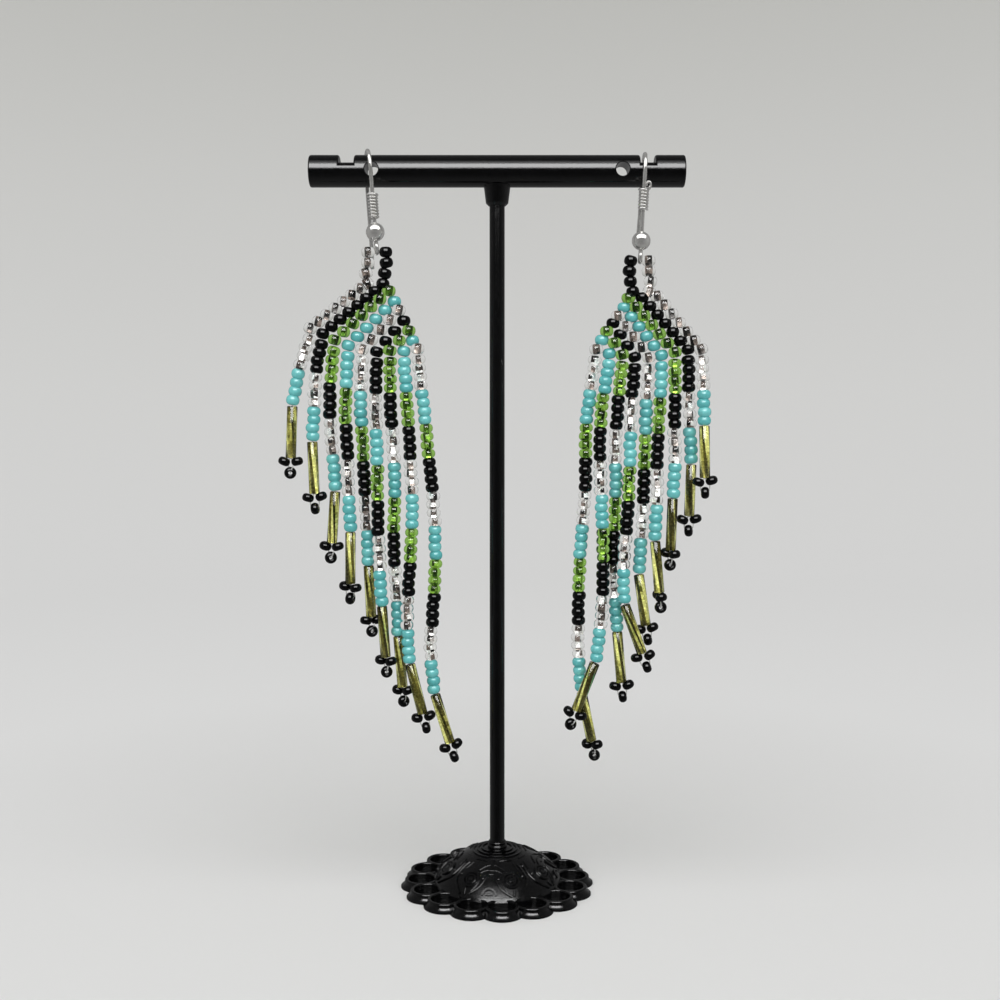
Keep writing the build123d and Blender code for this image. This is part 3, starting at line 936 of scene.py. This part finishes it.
# Painted light: the paper's own glow at each height
bowl_glow = [(0, (0.49, 0.49, 0.487)), (0.1, (0.465, 0.465, 0.457)),
             (0.22, (0.415, 0.415, 0.403)), (0.37, (0.34, 0.34, 0.322))]

# The paper takes shadows about the stand's foot; further out it glows instead
shadow_reach = (0.04, 0.16)
shadow_albedo = 0.78
glow_albedo = 0.25

# Lamps, in metres and watts: a soft one overhead, which the silver mirrors, and a window in
# front, brightest in its middle, which the black and the glass mirror
Lamp = namedtuple("Lamp", "place size power mirrored_in")
lamps = {
    "overhead": Lamp((0, -0.22, 0.48), (1.0, 0.4), 2.55, None),
    "overhead_gloss": Lamp((0, -0.215, 0.47), (1.0, 0.4), 2.2, "silver"),
    "window": Lamp((0, -0.354, 0.352), (0.5, 0.331), 1.82, "others"),
    "window_core": Lamp((0, -0.343, 0.333), (0.46, 0.2), 2.31, "others"),
    "window_top": Lamp((0, -0.197, 0.498), (0.5, 0.118), 0.19, "others"),
}

# Brightness that gloss shows: from the front, 0, to the back, 1; and from level to above
world_front = [(0, 0.1), (0.08, 0.14), (0.25, 0.32), (0.5, 0.44), (1, 0.44)]
world_above = [(0.1, 0.5), (0.5, 0.38), (0.95, 0.3)]


def build_bowl():
    """Flat floor with a rounded rise into an upright wall, all in one skin."""
    profile = [(bowl_radius * i / bowl_floor_rings, 0) for i in range(bowl_floor_rings + 1)]
    for i in range(1, bowl_curve_rings + 1):
        angle = pi / 2 * i / bowl_curve_rings
        profile.append((bowl_radius + bowl_curve * sin(angle), bowl_curve * (1 - cos(angle))))
    profile.append((bowl_radius + bowl_curve, bowl_height))
    segments = bowl_segments
    points = []
    quads = []
    for r, z in profile:
        for j in range(segments):
            angle = tau * j / segments
            points.append((r * cos(angle), r * sin(angle), z))
    for i in range(len(profile) - 1):
        for j in range(segments):
            k = (j + 1) % segments
            quads.append((i * segments + j, i * segments + k,
                          (i + 1) * segments + k, (i + 1) * segments + j))
    mesh = bpy.data.meshes.new("bowl")
    mesh.from_pydata(points, [], quads)
    mesh.polygons.foreach_set("use_smooth", [True] * len(quads))
    mesh.materials.append(glowing_paper())
    bowl = bpy.data.objects.new("bowl", mesh)
    bpy.context.scene.collection.objects.link(bowl)
    bowl.visible_glossy = False


def glowing_paper():
    """Paper that glows as painted light, dimmer and warmer toward the top, but not about the
    foot.
    """
    material, shader = new_material("paper")
    link = material.node_tree.links.new
    place = material.node_tree.nodes.new("ShaderNodeTexCoord")
    split = material.node_tree.nodes.new("ShaderNodeSeparateXYZ")
    away = material.node_tree.nodes.new("ShaderNodeVectorMath")
    away.operation = "LENGTH"
    link(place.outputs["Object"], split.inputs["Vector"])
    link(place.outputs["Object"], away.inputs["Vector"])
    near, far = shadow_reach
    by_height = add_ramp(material, split.outputs["Z"], bowl_glow)
    by_distance = add_ramp(material, away.outputs["Value"], greys([(near, 0), (far, 1)]))
    albedo = greys([(near, shadow_albedo), (far, glow_albedo)])
    link(add_product(material, by_height, by_distance), shader.inputs["Emission Color"])
    link(add_ramp(material, away.outputs["Value"], albedo), shader.inputs["Base Color"])
    shader.inputs["Emission Strength"].default_value = 1
    shader.inputs["Roughness"].default_value = 0.9
    shader.inputs["Specular IOR Level"].default_value = 0
    material.cycles.emission_sampling = "NONE"
    return material


def sort_pieces():
    """The two sets of meshes that lamps show in: those with silver, and all the others."""
    sets = {"silver": bpy.data.collections.new("silver"),
            "others": bpy.data.collections.new("others")}
    for piece in bpy.context.scene.objects:
        if piece.type == "MESH":
            bright = materials["silver"].name in piece.data.materials
            sets["silver" if bright else "others"].objects.link(piece)
    return sets


def add_lamp(name, lamp, sets):
    """Soft lamp: it either lights the scene unseen or shows only in its set's gloss."""
    light = bpy.data.lights.new(name, "AREA")
    light.shape = "RECTANGLE"
    light.size, light.size_y = lamp.size
    light.energy = lamp.power
    panel = bpy.data.objects.new(name, light)
    panel.location = lamp.place
    aim = Vector(lamps_aim) - Vector(lamp.place)
    panel.rotation_euler = aim.to_track_quat("-Z", "Y").to_euler()
    panel.visible_camera = False
    panel.visible_glossy = lamp.mirrored_in is not None
    panel.visible_diffuse = lamp.mirrored_in is None
    if lamp.mirrored_in:
        panel.light_linking.receiver_collection = sets[lamp.mirrored_in]
    bpy.context.scene.collection.objects.link(panel)


def build_world():
    """Plain grey room for gloss to show, brighter toward the back than in front."""
    world = bpy.data.worlds.new("room")
    world.use_nodes = True
    tree = world.node_tree
    place = tree.nodes.new("ShaderNodeTexCoord")
    split = tree.nodes.new("ShaderNodeSeparateXYZ")
    tree.links.new(place.outputs["Generated"], split.inputs["Vector"])
    back = add_range(world, split.outputs["Y"], 0, 1, span=(-1, 1))
    front_to_back = add_ramp(world, back, greys(world_front))
    upward = add_ramp(world, split.outputs["Z"], greys(world_above))
    tree.links.new(add_product(world, front_to_back, upward),
                   tree.nodes["Background"].inputs["Color"])
    bpy.context.scene.world = world


def build_camera():
    """Camera level with the earrings, looking a little down."""
    camera = bpy.data.cameras.new("camera")
    camera.lens = camera_lens
    camera.clip_start = 0.01
    camera.clip_end = 10
    rig = bpy.data.objects.new("camera", camera)
    rig.location = camera_place
    rig.rotation_euler = (radians(90 + camera_pitch), 0, 0)
    bpy.context.scene.collection.objects.link(rig)
    bpy.context.scene.camera = rig


build_bowl()
build_world()
build_camera()
piece_sets = sort_pieces()
for name, lamp in lamps.items():
    add_lamp(name, lamp, piece_sets)
bpy.context.scene.view_settings.view_transform = "Standard"
